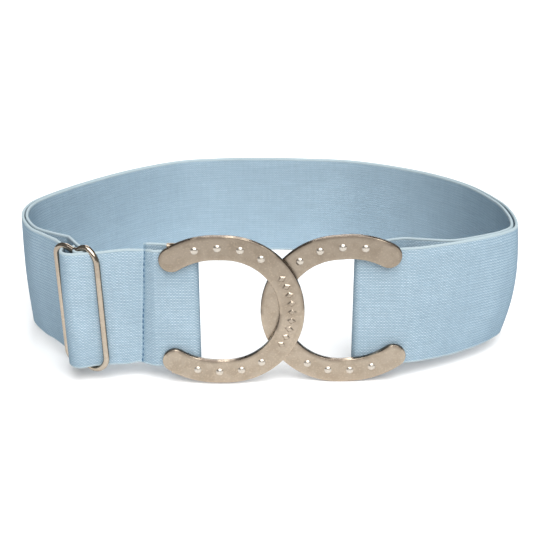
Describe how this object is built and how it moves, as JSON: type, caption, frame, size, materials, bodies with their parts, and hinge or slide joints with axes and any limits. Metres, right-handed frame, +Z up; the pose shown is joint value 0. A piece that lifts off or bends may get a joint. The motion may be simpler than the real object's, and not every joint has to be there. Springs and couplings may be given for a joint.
{
  "type": "elastic belt with a double horseshoe buckle",
  "caption": "Elastic waist belt, fastened in a ring: a doubled elastic strip with a wire slide and a hooked buckle of two metal horseshoes.",
  "frame": {"origin": "on the floor under the middle of the belt's bounding box", "axes": "+Z up across the strip's width, +X from the slide's side to the other side, -Y to the front, where the buckle is"},
  "size_m": [0.256, 0.182, 0.0772],
  "materials": {
    "elastic": "fine knitted elastic, matt",
    "horseshoe_metal": "satin, pale champagne nickel",
    "slide_metal": "smooth, bright"
  },
  "bodies": {
    "root": {"elastic_strap": "elastic", "left_horseshoe": "horseshoe_metal", "right_horseshoe": "horseshoe_metal", "slide_buckle": "slide_metal"}
  },
  "joints": []
}
